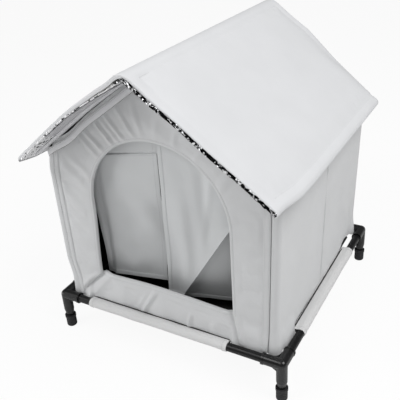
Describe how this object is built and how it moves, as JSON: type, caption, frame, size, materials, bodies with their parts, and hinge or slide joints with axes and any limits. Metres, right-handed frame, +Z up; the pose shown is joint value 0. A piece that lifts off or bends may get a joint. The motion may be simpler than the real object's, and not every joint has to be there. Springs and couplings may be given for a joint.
{
  "type": "raised cat house",
  "caption": "Raised cat house: stiffened cloth walls with an arched doorway and hanging flaps, a padded gable roof that lifts, on a tube frame with moulded corners.",
  "frame": {"origin": "on the ground at the middle of the footprint", "axes": "+Z up, the doorway faces -Y, +X is on the right of someone who looks at the doorway"},
  "size_m": [0.522, 0.557, 0.581],
  "materials": {
    "connector_plastic": "moulded, glossy black",
    "foot_rubber": "matte dark grey",
    "rail_steel": "black powder coat",
    "sleeve_cloth": "light grey oxford cloth",
    "wall_cloth": "grey oxford cloth",
    "flap_cloth": "grey oxford cloth",
    "lining_cloth": "black cloth",
    "binding_tape": "grey woven tape",
    "hook_tape": "grey hook tape",
    "roof_cloth": "pale grey oxford cloth",
    "stiffener_foam": "closed cell foam sheet",
    "foil_lining": "aluminised film on a thin felt"
  },
  "bodies": {
    "house": {"back_wall_board": "stiffener_foam", "back_wall_cover": "wall_cloth", "back_wall_lining": "lining_cloth", "corner_binding_back_left": "binding_tape", "corner_binding_back_right": "binding_tape", "corner_binding_front_left": "binding_tape", "corner_binding_front_right": "binding_tape", "corner_connector_back_left": "connector_plastic", "corner_connector_back_right": "connector_plastic", "corner_connector_front_left": "connector_plastic", "corner_connector_front_right": "connector_plastic", "door_header_tape": "binding_tape", "doorway_facing": "wall_cloth", "floor_sheet": "lining_cloth", "foot_cap_back_left": "foot_rubber", "foot_cap_back_right": "foot_rubber", "foot_cap_front_left": "foot_rubber", "foot_cap_front_right": "foot_rubber", "front_wall_board": "stiffener_foam", "front_wall_cover": "wall_cloth", "front_wall_lining": "lining_cloth", "gable_tape_back_left": "binding_tape", "gable_tape_back_right": "binding_tape", "gable_tape_front_left": "binding_tape", "gable_tape_front_right": "binding_tape", "left_wall_board": "stiffener_foam", "left_wall_cover": "wall_cloth", "left_wall_lining": "lining_cloth", "rail_sleeve_back": "sleeve_cloth", "rail_sleeve_front": "sleeve_cloth", "rail_sleeve_left": "sleeve_cloth", "rail_sleeve_right": "sleeve_cloth", "rail_tube_back": "rail_steel", "rail_tube_front": "rail_steel", "rail_tube_left": "rail_steel", "rail_tube_right": "rail_steel", "ridge_fold": "roof_cloth", "right_wall_board": "stiffener_foam", "right_wall_cover": "wall_cloth", "right_wall_lining": "lining_cloth"},
    "left_flap": {"door_flap_left": "flap_cloth"},
    "right_flap": {"door_flap_right": "flap_cloth"},
    "left_roof": {"roof_cover_left": "roof_cloth", "roof_board_left": "stiffener_foam", "roof_foil_left": "foil_lining", "hook_tape_front_left": "hook_tape", "hook_tape_back_left": "hook_tape"},
    "right_roof": {"roof_cover_right": "roof_cloth", "roof_board_right": "stiffener_foam", "roof_foil_right": "foil_lining", "hook_tape_front_right": "hook_tape", "hook_tape_back_right": "hook_tape"}
  },
  "joints": [
    {"name": "left_flap_swing", "type": "hinge", "parent": "house", "child": "left_flap", "pos_m": [0, -0.2142, 0.468], "axis": [1, 0, 0], "range_deg": [0, 60]},
    {"name": "right_flap_swing", "type": "hinge", "parent": "house", "child": "right_flap", "pos_m": [0, -0.2142, 0.468], "axis": [1, 0, 0], "range_deg": [0, 60]},
    {"name": "left_roof_lift", "type": "hinge", "parent": "house", "child": "left_roof", "pos_m": [0, 0, 0.576], "axis": [0, 1, 0], "range_deg": [0, 90]},
    {"name": "right_roof_lift", "type": "hinge", "parent": "house", "child": "right_roof", "pos_m": [0, 0, 0.576], "axis": [0, -1, 0], "range_deg": [0, 90]}
  ]
}
